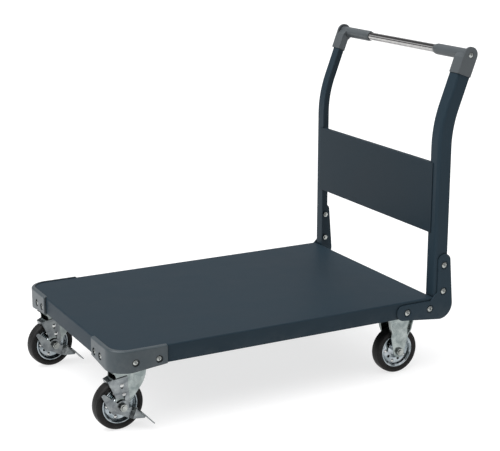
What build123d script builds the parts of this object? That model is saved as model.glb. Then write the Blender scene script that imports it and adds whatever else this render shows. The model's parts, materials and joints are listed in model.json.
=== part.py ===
"""Platform cart: pressed steel deck, fixed push handle, two braked swivel casters and two rigid ones.

Row frame: +Z up, floor at z = 0, +X towards the push handle, origin under the middle of the
overall length.  "Left" is the -Y side, the left hand of a person who pushes the cart.
Everything handed is drawn on the left and mirrored about the XZ plane.
"""

from build123d import *
import os
from math import cos, radians, sin, tan

# ---------------------------------------------------------------- driving dimensions (mm, degrees)
DECK_LENGTH = 900.0
DECK_WIDTH = 606.0
DECK_SIDE = 44.0            # height of the folded skirt
DECK_SHEET = 2.0
DECK_LIP = 10.0             # width of the return fold under the skirt
FRONT_CORNER = 45.0
REAR_CORNER = 6.0
DECK_EDGE = 4.0             # bend radius between top and skirt

WHEEL_RADIUS = 62.5
TYRE_WIDTH = 32.0
RIM_RADIUS = 45.0
CASTER_HEIGHT = 168.0
TRACK = 482.0               # swivel axis to swivel axis
FRONT_SETBACK = 62.0        # deck's front edge to the swivel axis
REAR_SETBACK = 78.0         # deck's rear edge to the rear axle
TRAIL = 33.0
REST_SWIVEL = {"left": 3.5, "right": 8.2}

BUMPER_WALL = 6.0
BUMPER_ARM = 134.0
BUMPER_DROP = 9.0           # how far the corner hangs below the skirt
BUMPER_LIP = 2.0            # thickness of the lip above the deck top
BUMPER_LAP = 3.6            # how far the lip reaches over the deck's rounded edge

ANGLE_WEB = 38.0            # uprights: depth of the outer web
ANGLE_FLANGE = 35.0         # uprights: width of the front flange
ANGLE_WALL = 3.0
ANGLE_FOLD = 9.0            # outside bend radius
PANEL_LOW = 170.0           # heights above the deck top
PANEL_HIGH = 355.0
PANEL_SHEET = 2.0
PANEL_LAP = 12.0            # overlap on each front flange
BEND_START = 395.0
BEND_RADIUS = 300.0
LEAN = 20.5
GRIP_REACH = 138.0          # end of the bend to the grip axis

GRIP_RADIUS = 11.0
GRIP_WALL = 1.5
JOINT_RADIUS = 20.7
JOINT_LENGTH = 54.0         # grip axis to the mouth of the socket
JOINT_WALL = 1.7
JOINT_PLATE = 6.0           # thickness of the full-width outer part
JOINT_DEPTH = 20.0          # front to back of the inner part
JOINT_SCREW_HEAD = 6.6
JOINT_RECESS = 1.4
SLEEVE_RADIUS = 14.5
SLEEVE_LENGTH = 111.0       # from the inner part along the grip

BRACKET_PLATE = 4.0
BRACKET_RECESS = 2.8        # depth of the dimple round each bolt
BUMPER_RECESS = 3.4

FORK_HALF = 23.5            # outer face of a fork leg from the wheel's middle plane
FORK_WALL = 3.0
AXLE_RADIUS = 6.0
RUNNING = 0.06              # radial clearance of a running fit
LEVER_THROW = 25.0          # pedal lift that frees the wheel

M8_HEAD = 8.0
M8_SHANK = 4.0
M8_NUT = 7.5                # corner radius of the hexagon
M8_NUT_HEIGHT = 6.5

# ---------------------------------------------------------------- places worked out from them
DECK_TOP = CASTER_HEIGHT + DECK_SIDE
HALF_WIDTH = DECK_WIDTH / 2
lean_cos = cos(radians(LEAN))
lean_sin = sin(radians(LEAN))
grip_behind = ANGLE_WEB / 2 + BEND_RADIUS * (1 - lean_cos) + GRIP_REACH * lean_sin
wheel_ahead = (TRAIL + WHEEL_RADIUS) * cos(radians(REST_SWIVEL["left"])) - FRONT_SETBACK
overall_length = wheel_ahead + DECK_LENGTH + grip_behind + JOINT_RADIUS
FRONT = wheel_ahead - overall_length / 2
REAR = FRONT + DECK_LENGTH
GRIP_X = REAR + grip_behind
GRIP_Z = DECK_TOP + BEND_START + BEND_RADIUS * lean_sin + GRIP_REACH * lean_cos

CHANNEL_WIDTH = 98.0
CHANNEL_LENGTH = 574.0
CHANNEL_CORNER = 29.0
CHANNEL_SHEET = 3.0
PLATE_LONG = 104.0
PLATE_SHORT = 86.0
PLATE_SHEET = 4.0
PLATE_BOLTS = (60.0, 74.0)

BUMPER_SIDE_SCREWS = (52.0, 112.0)      # from the deck's front edge
BUMPER_FRONT_SCREWS = (76.0, 114.0)     # from the deck's side
BUMPER_SCREW_DROP = 30.0
BRACKET_DECK_BOLTS = ((-83.0, -30.0), (-12.0, -30.0))       # from the deck's rear top corner
BRACKET_UPRIGHT_BOLTS = ((29.0, 13.0), (29.0, 84.0))

os.makedirs("parts", exist_ok=True)


def save(builder, name):
    """Label a finished piece and write it as one STEP file."""
    builder.part.label = name
    export_step(builder.part, f"parts/{name}.step")


def save_pair(left, name):
    """Write a left-hand piece and its mirror image."""
    save(left, f"{name}_left")
    with BuildPart() as right:
        mirror(left.part, about=Plane.XZ)
    save(right, f"{name}_right")


def facing(origin, normal, across):
    """Plane at origin whose normal is the direction something is looked at from."""
    return Plane(origin=origin, x_dir=across, z_dir=normal)


def turned_plane(seat):
    """Plane through the seat's normal, for profiles drawn as (radius, height)."""
    return Plane(origin=seat.origin, x_dir=seat.x_dir, z_dir=-seat.y_dir)


def spin(profile, seat):
    """Revolve a finished profile about the seat's normal."""
    revolve(profile.sketch, axis=Axis(seat.origin, seat.z_dir))


def pan_screw(seat, reach, head=M8_HEAD, shank=M8_SHANK, height=4.6):
    """Cross-recessed pan-head screw: head on the seat's normal side, shank behind the seat."""
    with BuildSketch(turned_plane(seat)) as profile:
        with BuildLine():
            TangentArc((0, height), (head, height * 0.3), tangent=(1, 0))
            Polyline((head, height * 0.3), (head, 0), (shank, 0), (shank, 1 - reach),
                     (shank - 1, -reach), (0, -reach), (0, height))
        make_face()
    spin(profile, seat)
    with BuildSketch(seat.offset(height)) as profile:
        Rectangle(head, 1.6)
        Rectangle(1.6, head)
    extrude(profile.sketch, amount=-2.2, mode=Mode.SUBTRACT)


def hex_nut(seat, corner=M8_NUT, height=M8_NUT_HEIGHT, bore=M8_SHANK):
    """Chamfered hexagon nut standing on the seat."""
    with BuildSketch(seat) as profile:
        RegularPolygon(radius=corner, side_count=6)
        Circle(bore, mode=Mode.SUBTRACT)
    extrude(profile.sketch, amount=height)
    with BuildSketch(turned_plane(seat)) as profile:
        with BuildLine():
            Polyline((corner * 0.88, height), (corner + 1, height), (corner + 1, height - corner * 0.17),
                     (corner * 0.88, height))
        make_face()
    revolve(profile.sketch, axis=Axis(seat.origin, seat.z_dir), mode=Mode.SUBTRACT)


def drill(seat, radius, depth):
    """Round hole from the seat, against its normal."""
    with BuildSketch(seat) as profile:
        Circle(radius)
    extrude(profile.sketch, amount=-depth, mode=Mode.SUBTRACT)


def left_face(x, z, y):
    """Plane on the left of the cart, looked at from outside."""
    return facing((x, -y, z), (0, -1, 0), (1, 0, 0))


def right_face(x, z, y):
    """The same on the right."""
    return facing((x, y, z), (0, 1, 0), (-1, 0, 0))


def front_face(y, z, x):
    """Plane on the front end of the cart, looked at from outside."""
    return facing((x, y, z), (-1, 0, 0), (0, -1, 0))


# ---------------------------------------------------------------- seats shared by plates and fasteners
def bumper_seats(stand_off):
    """Seats of the eight bumper screws, stand_off outside the skirt."""
    seats = []
    z = DECK_TOP - BUMPER_SCREW_DROP
    for back in BUMPER_SIDE_SCREWS:
        seats.append(left_face(FRONT + back, z, HALF_WIDTH + stand_off))
        seats.append(right_face(FRONT + back, z, HALF_WIDTH + stand_off))
    for inboard in BUMPER_FRONT_SCREWS:
        for side in (-1, 1):
            seats.append(front_face(side * (HALF_WIDTH - inboard), z, FRONT - stand_off))
    return seats


def bracket_seats(places, stand_off):
    """Seats of bracket bolts on both sides, stand_off outside the skirt."""
    seats = []
    for back, up in places:
        seats.append(left_face(REAR + back, DECK_TOP + up, HALF_WIDTH + stand_off))
        seats.append(right_face(REAR + back, DECK_TOP + up, HALF_WIDTH + stand_off))
    return seats


# ---------------------------------------------------------------- deck
def deck_outline(inset):
    """Deck plan: large round front corners, nearly square rear ones."""
    with Locations((FRONT + DECK_LENGTH / 2, 0)):
        outline = Rectangle(DECK_LENGTH - 2 * inset, DECK_WIDTH - 2 * inset)
    fillet(outline.vertices().group_by(Axis.X)[0], FRONT_CORNER - inset)
    fillet(outline.vertices().group_by(Axis.X)[-1], max(REAR_CORNER - inset, 1.0))


with BuildPart() as deck_tray:
    with BuildSketch(Plane.XY.offset(CASTER_HEIGHT)):
        deck_outline(0)
    extrude(amount=DECK_SIDE)
    fillet(faces().sort_by(Axis.Z)[-1].edges(), DECK_EDGE)
    with BuildSketch(Plane.XY.offset(CASTER_HEIGHT + DECK_SHEET)):
        deck_outline(DECK_SHEET)
    extrude(amount=DECK_SIDE - 2 * DECK_SHEET, mode=Mode.SUBTRACT)
    with BuildSketch(Plane.XY.offset(CASTER_HEIGHT)):
        deck_outline(DECK_LIP)
    extrude(amount=DECK_SHEET, mode=Mode.SUBTRACT)
    for seat in bumper_seats(0) + bracket_seats(BRACKET_DECK_BOLTS, 0):
        drill(seat, M8_SHANK + 0.2, 2 * DECK_SHEET)
save(deck_tray, "deck_tray")

with BuildPart() as cross_channels:
    web = (CHANNEL_WIDTH - CHANNEL_SHEET) / 2
    rise = DECK_SIDE - DECK_SHEET
    for x in (FRONT + FRONT_SETBACK, REAR - REAR_SETBACK):
        with BuildSketch(Plane.XY.offset(CASTER_HEIGHT)):
            with Locations((x, 0)):
                RectangleRounded(CHANNEL_WIDTH, CHANNEL_LENGTH, CHANNEL_CORNER)
            with Locations((x, -TRACK / 2), (x, TRACK / 2)):
                with GridLocations(*PLATE_BOLTS, 2, 2):
                    Circle(M8_SHANK + 0.2, mode=Mode.SUBTRACT)
        extrude(amount=CHANNEL_SHEET)
        with BuildSketch(Plane.XY.offset(CASTER_HEIGHT + CHANNEL_SHEET)):
            with Locations((x - web, 0), (x + web, 0)):
                Rectangle(CHANNEL_SHEET, CHANNEL_LENGTH - 2 * CHANNEL_CORNER)
        extrude(amount=rise - CHANNEL_SHEET)
save(cross_channels, "cross_channels")

with BuildPart() as centre_rib:
    rib_start = FRONT + FRONT_SETBACK + CHANNEL_WIDTH / 2
    rib_end = REAR - REAR_SETBACK - CHANNEL_WIDTH / 2
    with BuildSketch(Plane.YZ.offset(rib_start)):
        with BuildLine():
            Polyline((-45, DECK_TOP - 2), (-45, DECK_TOP - 4), (-27, DECK_TOP - 4), (-20, DECK_TOP - 26),
                     (20, DECK_TOP - 26), (27, DECK_TOP - 4), (45, DECK_TOP - 4), (45, DECK_TOP - 2),
                     (25.5, DECK_TOP - 2), (18.5, DECK_TOP - 24), (-18.5, DECK_TOP - 24),
                     (-25.5, DECK_TOP - 2), (-45, DECK_TOP - 2))
        make_face()
    extrude(amount=rib_end - rib_start)
save(centre_rib, "centre_rib")


# ---------------------------------------------------------------- corner bumpers
def bumper_plan(outer, inner):
    """L-shaped plan strip round the left front corner, from inner inside the skirt to outer beyond it."""
    centre = (FRONT + FRONT_CORNER, -HALF_WIDTH + FRONT_CORNER)
    side_end = FRONT + BUMPER_ARM
    front_end = -HALF_WIDTH + BUMPER_ARM
    near = (FRONT_CORNER - inner) * sin(radians(45))
    far = (FRONT_CORNER + outer) * sin(radians(45))
    with BuildLine() as outline:
        Line((side_end, -HALF_WIDTH + inner), (centre[0], -HALF_WIDTH + inner))
        ThreePointArc((centre[0], -HALF_WIDTH + inner), (centre[0] - near, centre[1] - near),
                      (FRONT + inner, centre[1]))
        Polyline((FRONT + inner, centre[1]), (FRONT + inner, front_end), (FRONT - outer, front_end),
                 (FRONT - outer, centre[1]))
        ThreePointArc((FRONT - outer, centre[1]), (centre[0] - far, centre[1] - far),
                      (centre[0], -HALF_WIDTH - outer))
        Polyline((centre[0], -HALF_WIDTH - outer), (side_end, -HALF_WIDTH - outer),
                 (side_end, -HALF_WIDTH + inner))
    make_face(outline.edges())


with BuildPart() as bumper_left:
    with BuildSketch(Plane.XY.offset(CASTER_HEIGHT - BUMPER_DROP)):
        bumper_plan(BUMPER_WALL, 0)
    extrude(amount=DECK_SIDE + BUMPER_DROP)
    with BuildSketch(Plane.XY.offset(DECK_TOP)):
        bumper_plan(BUMPER_WALL, BUMPER_LAP)
    extrude(amount=BUMPER_LIP)
    top_edges = edges().group_by(Axis.Z)[-1]
    outside = top_edges.filter_by(
        lambda edge: edge.center().X < FRONT - BUMPER_WALL + 0.1
        or edge.center().Y < -HALF_WIDTH - BUMPER_WALL + 0.1
        or (edge.geom_type == GeomType.CIRCLE and edge.radius > FRONT_CORNER + 1)
    )
    fillet(outside, BUMPER_WALL - 0.8)
    with BuildSketch(Plane.XZ.offset(HALF_WIDTH + BUMPER_WALL)):        # slope under the side arm
        with BuildLine():
            Polyline((FRONT + FRONT_CORNER, CASTER_HEIGHT - BUMPER_DROP),
                     (FRONT + BUMPER_ARM, CASTER_HEIGHT),
                     (FRONT + BUMPER_ARM, CASTER_HEIGHT - BUMPER_DROP),
                     (FRONT + FRONT_CORNER, CASTER_HEIGHT - BUMPER_DROP))
        make_face()
    extrude(amount=-BUMPER_WALL, mode=Mode.SUBTRACT)
    with BuildSketch(Plane.YZ.offset(FRONT - BUMPER_WALL)):             # slope under the front arm
        with BuildLine():
            Polyline((-HALF_WIDTH + FRONT_CORNER, CASTER_HEIGHT - BUMPER_DROP),
                     (-HALF_WIDTH + BUMPER_ARM, CASTER_HEIGHT),
                     (-HALF_WIDTH + BUMPER_ARM, CASTER_HEIGHT - BUMPER_DROP),
                     (-HALF_WIDTH + FRONT_CORNER, CASTER_HEIGHT - BUMPER_DROP))
        make_face()
    extrude(amount=BUMPER_WALL, mode=Mode.SUBTRACT)
    for seat in bumper_seats(BUMPER_WALL):
        if seat.origin.Y < 0:
            drill(seat, 9.5, BUMPER_RECESS)
            drill(seat, M8_SHANK + 0.2, BUMPER_WALL)
    arm_corners = (
        (FRONT + BUMPER_ARM, -HALF_WIDTH - BUMPER_WALL, CASTER_HEIGHT),
        (FRONT - BUMPER_WALL, -HALF_WIDTH + BUMPER_ARM, CASTER_HEIGHT),
    )
    for corner in arm_corners:
        fillet(edges().filter_by(Axis.Z).sort_by_distance(corner)[0], 2.5)
save_pair(bumper_left, "corner_bumper")

with BuildPart() as bumper_screws:
    for seat in bumper_seats(BUMPER_WALL - BUMPER_RECESS):
        pan_screw(seat, reach=14.0, head=6.8, height=BUMPER_RECESS)
save(bumper_screws, "bumper_screws")

with BuildPart() as bumper_nuts:
    for seat in bumper_seats(-DECK_SHEET):
        hex_nut(-seat)
save(bumper_nuts, "bumper_nuts")


# ---------------------------------------------------------------- uprights and panel
def upright_path(length_past_bend):
    """Middle line of the left upright's web: plumb, one bend, straight and leaning back."""
    x = REAR + ANGLE_WEB / 2
    foot = Vector(x, -HALF_WIDTH, CASTER_HEIGHT)
    knee = Vector(x, -HALF_WIDTH, DECK_TOP + BEND_START)
    half = radians(LEAN / 2)
    middle = knee + Vector(BEND_RADIUS * (1 - cos(half)), 0, BEND_RADIUS * sin(half))
    hip = knee + Vector(BEND_RADIUS * (1 - lean_cos), 0, BEND_RADIUS * lean_sin)
    tip = hip + Vector(length_past_bend * lean_sin, 0, length_past_bend * lean_cos)
    Line(foot, knee)
    ThreePointArc(knee, middle, hip)
    Line(hip, tip)


with BuildPart() as upright_left:
    with BuildLine() as spine:
        upright_path(GRIP_REACH - JOINT_RADIUS)
    with BuildSketch(Plane.XY.offset(CASTER_HEIGHT)):
        with BuildLine():
            Polyline((REAR, -HALF_WIDTH), (REAR + ANGLE_WEB, -HALF_WIDTH),
                     (REAR + ANGLE_WEB, -HALF_WIDTH + ANGLE_WALL),
                     (REAR + ANGLE_WALL, -HALF_WIDTH + ANGLE_WALL),
                     (REAR + ANGLE_WALL, -HALF_WIDTH + ANGLE_FLANGE), (REAR, -HALF_WIDTH + ANGLE_FLANGE),
                     (REAR, -HALF_WIDTH))
        section = make_face()
        fold = section.vertices().sort_by_distance((REAR, -HALF_WIDTH, CASTER_HEIGHT))
        fillet(fold[0], ANGLE_FOLD)
        fillet(fold[1], ANGLE_FOLD - ANGLE_WALL)
    sweep(path=spine.wires()[0])
    for seat in bracket_seats(BRACKET_UPRIGHT_BOLTS, 0):
        if seat.origin.Y < 0:
            drill(seat, M8_SHANK + 0.2, 2 * ANGLE_WALL)
save_pair(upright_left, "upright")

with BuildPart() as back_panel:
    inner_half = HALF_WIDTH - ANGLE_FLANGE
    with BuildSketch(Plane.YZ.offset(REAR - PANEL_SHEET)):
        with Locations((0, DECK_TOP + (PANEL_LOW + PANEL_HIGH) / 2)):
            Rectangle(2 * (inner_half + PANEL_LAP), PANEL_HIGH - PANEL_LOW)
    extrude(amount=PANEL_SHEET)
    for edge_z in (PANEL_LOW + PANEL_SHEET / 2, PANEL_HIGH - PANEL_SHEET / 2):
        with BuildSketch(Plane.YZ.offset(REAR)):
            with Locations((0, DECK_TOP + edge_z)):
                Rectangle(2 * inner_half - 1, PANEL_SHEET)
        extrude(amount=10)
save(back_panel, "back_panel")


# ---------------------------------------------------------------- corner brackets
def bracket_outline():
    """Pressed L plate: (0, 0) is the deck's rear top corner; arms widen towards the heel."""
    with BuildLine() as outline:
        Line((9, 12), (9, 96))
        ThreePointArc((9, 96), (28, 115), (47, 96))
        Line((47, 96), (57, -20))
        ThreePointArc((57, -20), (47, -49), (18, -62))
        Line((18, -62), (-95, -49))
        ThreePointArc((-95, -49), (-116, -28.5), (-95, -8))
        Line((-95, -8), (-11, -8))
        Line((-11, -8), (9, 12))
    make_face(outline.edges())


with BuildPart() as bracket_left:
    with BuildSketch(facing((REAR, -HALF_WIDTH, DECK_TOP), (0, -1, 0), (1, 0, 0))):
        bracket_outline()
    extrude(amount=BRACKET_PLATE)
    for seat in bracket_seats(BRACKET_DECK_BOLTS + BRACKET_UPRIGHT_BOLTS, BRACKET_PLATE):
        if seat.origin.Y < 0:
            with BuildSketch(turned_plane(seat)):
                with BuildLine():
                    Polyline((0, 1), (13.0, 1), (9.6, -BRACKET_RECESS), (0, -BRACKET_RECESS), (0, 1))
                make_face()
            revolve(axis=Axis(seat.origin, seat.z_dir), mode=Mode.SUBTRACT)
            drill(seat, M8_SHANK + 0.2, BRACKET_PLATE)
save_pair(bracket_left, "corner_bracket")

with BuildPart() as bracket_bolts:
    for seat in bracket_seats(BRACKET_DECK_BOLTS + BRACKET_UPRIGHT_BOLTS, BRACKET_PLATE - BRACKET_RECESS):
        pan_screw(seat, reach=14.0, head=7.6, height=3.8)
save(bracket_bolts, "bracket_bolts")

with BuildPart() as bracket_nuts:
    for seat in bracket_seats(BRACKET_DECK_BOLTS, -DECK_SHEET):
        hex_nut(-seat)
    for seat in bracket_seats(BRACKET_UPRIGHT_BOLTS, -ANGLE_WALL):
        hex_nut(-seat)
save(bracket_nuts, "bracket_nuts")


# ---------------------------------------------------------------- handle joints and grip
def joint_plane(y):
    """Plane across the left handle joint at distance y from the middle: local y runs up the lean."""
    return Plane(origin=(GRIP_X, -y, GRIP_Z), x_dir=(lean_cos, 0, -lean_sin), z_dir=(0, -1, 0))


JOINT_INNER = HALF_WIDTH - ANGLE_FLANGE - JOINT_WALL
JOINT_OUTER = HALF_WIDTH + JOINT_WALL
grip_middle = joint_plane(0)
sleeve_end = JOINT_INNER - SLEEVE_LENGTH
sleeve_bore = GRIP_RADIUS + 0.1


def joint_inner_outline():
    """Inner part: shallow box round the front flange, its top as high as the sleeve."""
    back = JOINT_DEPTH - JOINT_RADIUS
    with BuildLine() as outline:
        Polyline((-SLEEVE_RADIUS, 0), (-JOINT_RADIUS, -12), (-JOINT_RADIUS, -JOINT_LENGTH),
                 (back, -JOINT_LENGTH), (back, -JOINT_RADIUS - 4), (SLEEVE_RADIUS, 0))
        ThreePointArc((SLEEVE_RADIUS, 0), (0, SLEEVE_RADIUS), (-SLEEVE_RADIUS, 0))
    make_face(outline.edges())


with BuildPart() as joint_left:
    with BuildSketch(joint_plane(JOINT_INNER)):
        joint_inner_outline()
    extrude(amount=JOINT_OUTER - JOINT_INNER)
    with BuildSketch(joint_plane(JOINT_OUTER - JOINT_PLATE)):       # outer part, as deep as the upright
        with BuildLine():
            Polyline((-JOINT_RADIUS, 0), (-JOINT_RADIUS, -JOINT_LENGTH), (JOINT_RADIUS, -JOINT_LENGTH),
                     (JOINT_RADIUS, 0))
            ThreePointArc((JOINT_RADIUS, 0), (0, JOINT_RADIUS), (-JOINT_RADIUS, 0))
        make_face()
    extrude(amount=JOINT_PLATE)
    with BuildSketch(turned_plane(grip_middle)):                    # sleeve with a tapered mouth
        with BuildLine():
            Polyline((sleeve_bore, sleeve_end), (SLEEVE_RADIUS - 2, sleeve_end),
                     (SLEEVE_RADIUS, sleeve_end + 9), (SLEEVE_RADIUS, JOINT_INNER + 2),
                     (sleeve_bore, JOINT_INNER + 2), (sleeve_bore, sleeve_end))
        make_face()
    revolve(axis=Axis(grip_middle.origin, grip_middle.z_dir))
    socket_top = -(JOINT_RADIUS - 1)
    socket_middle = (socket_top - JOINT_LENGTH) / 2
    socket_height = socket_top + JOINT_LENGTH
    for out, depth in ((JOINT_INNER + 1, JOINT_DEPTH - 3), (HALF_WIDTH - ANGLE_WALL - 0.2, ANGLE_WEB + 0.4)):
        with BuildSketch(joint_plane(out)):                         # socket for the upright
            with Locations(((depth - ANGLE_WEB - 0.4) / 2, socket_middle)):
                Rectangle(depth, socket_height)
        extrude(amount=HALF_WIDTH + 0.2 - out, mode=Mode.SUBTRACT)
    drill(joint_plane(HALF_WIDTH - 14), sleeve_bore, HALF_WIDTH - 14 - JOINT_INNER)
    drill(joint_plane(JOINT_OUTER), JOINT_SCREW_HEAD + 1, JOINT_RECESS)
    drill(joint_plane(JOINT_OUTER), M8_SHANK + 0.2, 20)
save_pair(joint_left, "handle_joint")

grip_end = HALF_WIDTH - 14.5
with BuildPart() as grip_tube:
    with BuildSketch(grip_middle):
        Circle(GRIP_RADIUS)
        Circle(GRIP_RADIUS - GRIP_WALL, mode=Mode.SUBTRACT)
    extrude(amount=grip_end, both=True)
save(grip_tube, "grip_tube")

with BuildPart() as tube_plugs:
    with BuildSketch(joint_plane(grip_end)):
        Circle(GRIP_RADIUS - GRIP_WALL - 0.05)
        Circle(M8_SHANK, mode=Mode.SUBTRACT)
    extrude(amount=-30)
    mirror(about=Plane.XZ)
save(tube_plugs, "tube_plugs")

with BuildPart() as joint_screws:
    pan_screw(joint_plane(JOINT_OUTER - JOINT_RECESS), reach=32.0, head=JOINT_SCREW_HEAD, height=3.0)
    mirror(about=Plane.XZ)
save(joint_screws, "joint_screws")


# ---------------------------------------------------------------- casters: shared frames and profiles
def caster_frame(x, y, angle):
    """Floor-level frame of a caster: local x runs from the axle towards the swivel axis."""
    return Plane(origin=(x, y, 0), x_dir=(cos(radians(angle)), sin(radians(angle)), 0), z_dir=(0, 0, 1))


def level_plane(caster, height):
    """Horizontal plane on the caster's upright axis, square to the deck."""
    return Plane(origin=caster.origin + Vector(0, 0, height), x_dir=(1, 0, 0), z_dir=(0, 0, 1))


def shifted(plane, x, y):
    """The same plane with its origin moved within itself."""
    return Plane(origin=plane.from_local_coords(Vector(x, y, 0)), x_dir=plane.x_dir, z_dir=plane.z_dir)


def wheel_side(caster, trail, out):
    """Upright plane beside the wheel with its origin on the axle line, looked at from the left."""
    origin = caster.from_local_coords(Vector(-trail, -out, WHEEL_RADIUS))
    return Plane(origin=origin, x_dir=caster.x_dir, z_dir=-caster.y_dir)


FRONT_CASTERS = {
    "left": caster_frame(FRONT + FRONT_SETBACK, -TRACK / 2, REST_SWIVEL["left"]),
    "right": caster_frame(FRONT + FRONT_SETBACK, TRACK / 2, REST_SWIVEL["right"]),
}
REAR_CASTERS = {
    "left": caster_frame(REAR - REAR_SETBACK, -TRACK / 2, 0),
    "right": caster_frame(REAR - REAR_SETBACK, TRACK / 2, 0),
}
LEG_FOOT = 17.0             # radius of a leg's round foot
HUB_RADIUS = 11.0
HUB_HALF = 19.0
WEB_OUT = 7.0               # outer face of the wheel disc's web
DISC_SHEET = 2.0
RIVET_CIRCLE = 31.5
CROWN_TOP = 150.0           # height of the swivel fork's crown
BALL_RADIUS = 3.0
BALL_CIRCLE = 26.0
BALL_Z = 158.3
KINGPIN_RADIUS = 6.0


def tyre(hub):
    """Solid rubber tyre with a crowned tread."""
    half = TYRE_WIDTH / 2
    seat = RIM_RADIUS + 1
    shoulder = WHEEL_RADIUS - 7
    knee = WHEEL_RADIUS - 2.2
    crown = WHEEL_RADIUS - 0.8
    with BuildSketch(turned_plane(hub)) as profile:
        with BuildLine():
            Polyline((seat + 5, half), (seat, half - 2.5), (seat, 2.5 - half), (seat + 5, -half),
                     (shoulder, -half))
            ThreePointArc((shoulder, -half), (knee, -half + 2.1), (crown, -9))
            ThreePointArc((crown, -9), (WHEEL_RADIUS, 0), (crown, 9))
            ThreePointArc((crown, 9), (knee, half - 2.1), (shoulder, half))
            Line((shoulder, half), (seat + 5, half))
        make_face()
    spin(profile, hub)


def wheel_disc_half(hub):
    """One dished steel half of the wheel centre, on the positive side of the hub plane."""
    lip = TYRE_WIDTH / 2 - 1.5
    with BuildSketch(turned_plane(hub)) as profile:
        with BuildLine():
            Polyline((HUB_RADIUS + 0.1, HUB_HALF - 2), (HUB_RADIUS + 2.2, HUB_HALF - 2),
                     (19, WEB_OUT + 3), (23, WEB_OUT), (37, WEB_OUT), (40.5, lip - 2.5),
                     (RIM_RADIUS - 1.5, lip))
            Polyline((RIM_RADIUS - 1.5, lip), (RIM_RADIUS + 0.9, lip - 0.6), (RIM_RADIUS + 0.9, 0.1),
                     (RIM_RADIUS - 1.1, 0.1), (RIM_RADIUS - 1.1, lip - 3.2), (41.6, lip - 4),
                     (38, WEB_OUT - DISC_SHEET), (22, WEB_OUT - DISC_SHEET), (17.6, WEB_OUT + 1),
                     (HUB_RADIUS + 1.4, HUB_HALF - 4), (HUB_RADIUS + 0.1, HUB_HALF - 4),
                     (HUB_RADIUS + 0.1, HUB_HALF - 2))
        make_face()
    spin(profile, hub)
    with BuildSketch(hub.offset(WEB_OUT + 1)) as profile:
        with PolarLocations(RIVET_CIRCLE, 5, start_angle=36):
            Circle(3.05)
        with PolarLocations(27, 5, start_angle=0):
            Circle(4.0)
    extrude(profile.sketch, amount=-6, mode=Mode.SUBTRACT)


def wheel_rivets(hub):
    """Five rivets that hold the two disc halves together."""
    for angle in range(36, 396, 72):
        x, y = RIVET_CIRCLE * cos(radians(angle)), RIVET_CIRCLE * sin(radians(angle))
        seat = shifted(hub, x, y)
        with BuildSketch(turned_plane(seat)) as profile:
            with BuildLine():
                TangentArc((0, WEB_OUT + 2.4), (5, WEB_OUT), tangent=(1, 0))
                Polyline((5, WEB_OUT), (3, WEB_OUT), (3, -WEB_OUT), (5, -WEB_OUT))
                TangentArc((0, -WEB_OUT - 2.4), (5, -WEB_OUT), tangent=(1, 0))
                Line((0, -WEB_OUT - 2.4), (0, WEB_OUT + 2.4))
            make_face()
        spin(profile, seat)


def make_wheel(caster, trail, name):
    """Tyre, pressed disc halves, rivets and hub of one wheel."""
    hub = wheel_side(caster, trail, 0)
    with BuildPart() as tyre_part:
        tyre(hub)
    save(tyre_part, f"tyre_{name}")
    with BuildPart() as disc:
        wheel_disc_half(hub)
        wheel_disc_half(Plane(origin=hub.origin, x_dir=hub.x_dir, z_dir=-hub.z_dir))
    save(disc, f"wheel_discs_{name}")
    with BuildPart() as rivets:
        wheel_rivets(hub)
    save(rivets, f"wheel_rivets_{name}")
    with BuildPart() as hub_part:
        bore = AXLE_RADIUS + RUNNING
        with BuildSketch(turned_plane(hub)) as profile:
            with BuildLine():
                Polyline((bore, -HUB_HALF), (HUB_RADIUS - 1, -HUB_HALF), (HUB_RADIUS, 1 - HUB_HALF),
                         (HUB_RADIUS, HUB_HALF - 1), (HUB_RADIUS - 1, HUB_HALF), (bore, HUB_HALF),
                         (bore, -HUB_HALF))
            make_face()
        spin(profile, hub)
    save(hub_part, f"wheel_hub_{name}")


def axle_bolt(caster, trail, tip):
    """Hexagon-headed axle bolt: head on the right of the fork, thread end at tip on the left."""
    head_seat = -wheel_side(caster, trail, -FORK_HALF)
    with BuildSketch(head_seat) as profile:
        RegularPolygon(radius=10.8, side_count=6)
    extrude(profile.sketch, amount=7.5)
    with BuildSketch(head_seat) as profile:
        Circle(AXLE_RADIUS)
    extrude(profile.sketch, amount=-(FORK_HALF + tip))


def leg_bores(caster, trail):
    """Axle bore through both legs."""
    drill(wheel_side(caster, trail, FORK_HALF + 1), AXLE_RADIUS + 0.05, 2 * FORK_HALF + 2)


def clear_between_legs(caster, trail, top):
    """Remove everything between the legs up to height top above the floor."""
    with BuildSketch(wheel_side(caster, trail, FORK_HALF - FORK_WALL)) as profile:
        with Locations((20, (top - WHEEL_RADIUS - 40) / 2)):
            Rectangle(180, top - WHEEL_RADIUS + 40)
    extrude(profile.sketch, amount=-2 * (FORK_HALF - FORK_WALL), mode=Mode.SUBTRACT)


# ---------------------------------------------------------------- swivel casters
def swivel_leg():
    """Side shape of the swivel fork, origin on the axle."""
    top = CROWN_TOP - WHEEL_RADIUS
    with BuildLine() as outline:
        ThreePointArc((-LEG_FOOT, 0), (0, -LEG_FOOT), (LEG_FOOT, 0))
        Polyline((LEG_FOOT, 0), (23, 7), (51, 41.5))
        ThreePointArc((51, 41.5), (63, 63), (67, top))
        Line((67, top), (-24, top))
        ThreePointArc((-24, top), (-16, top - 6), (-13, top - 16))
        Line((-13, top - 16), (-LEG_FOOT, 0))
    make_face(outline.edges())


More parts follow.
